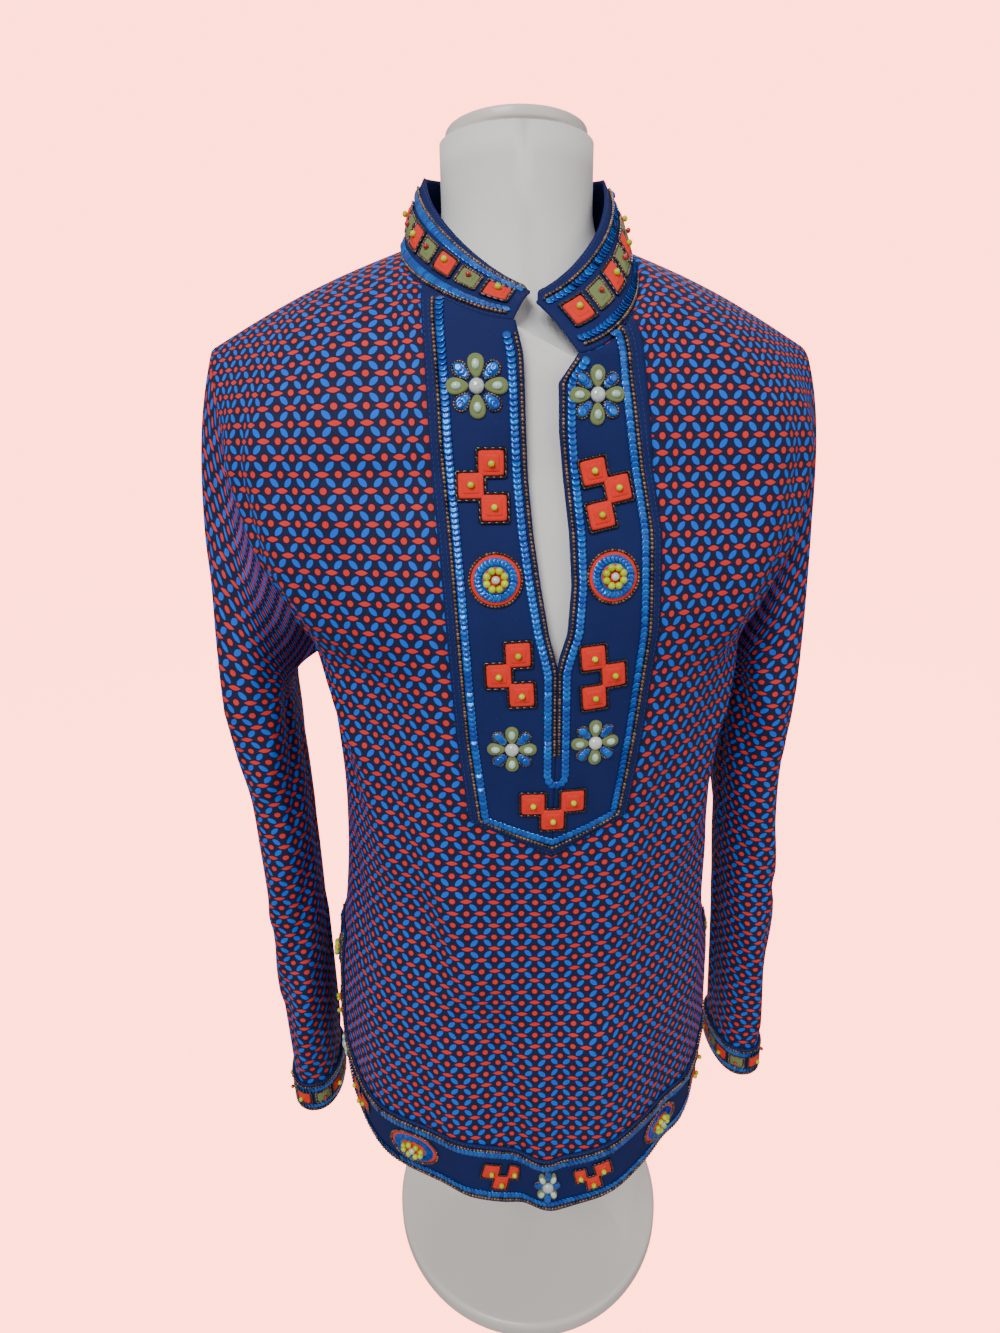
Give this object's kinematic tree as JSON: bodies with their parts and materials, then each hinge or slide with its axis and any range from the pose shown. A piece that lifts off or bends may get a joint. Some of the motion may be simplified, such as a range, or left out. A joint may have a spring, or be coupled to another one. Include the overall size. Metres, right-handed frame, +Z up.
{
  "type": "embellished tunic shirt on a dress form",
  "caption": "Long-sleeved stand-collar tunic with an open neck slit, appliqued navy bands, beadwork and side vents, on a limbless dress form.",
  "frame": {"origin": "centre of the base plate's underside", "axes": "+Z up; the front faces -Y; the wearer's left side is at +X"},
  "size_m": [0.4329, 0.2724, 0.9013],
  "materials": {
    "print_cloth": "soft woven cotton printed with small coral and blue shapes on navy",
    "navy_cloth": "plain matt navy cotton",
    "form_cover": "off-white stretched cotton cover",
    "painted_steel": "satin off-white paint",
    "red_felt": "matt felt applique",
    "sage_felt": "matt felt applique",
    "blue_sequin": "glossy metallised cup sequins",
    "brown_bead": "glossy bronze seed beads",
    "black_bead": "glossy black bugle beads",
    "bright_bead": "glossy round beads",
    "pearl_bead": "pearly cabochons",
    "thread": "matt sewing thread"
  },
  "bodies": {
    "root": {"front": "print_cloth", "back": "print_cloth", "sleeve_right": "print_cloth", "sleeve_left": "print_cloth", "cuff_band_right": "navy_cloth", "cuff_band_left": "navy_cloth", "collar": "navy_cloth", "placket": "navy_cloth", "hem_band_front": "navy_cloth", "hem_band_back": "navy_cloth", "form_torso": "form_cover", "form_cap": "painted_steel", "form_pole": "painted_steel", "form_base": "painted_steel"}
  },
  "joints": []
}
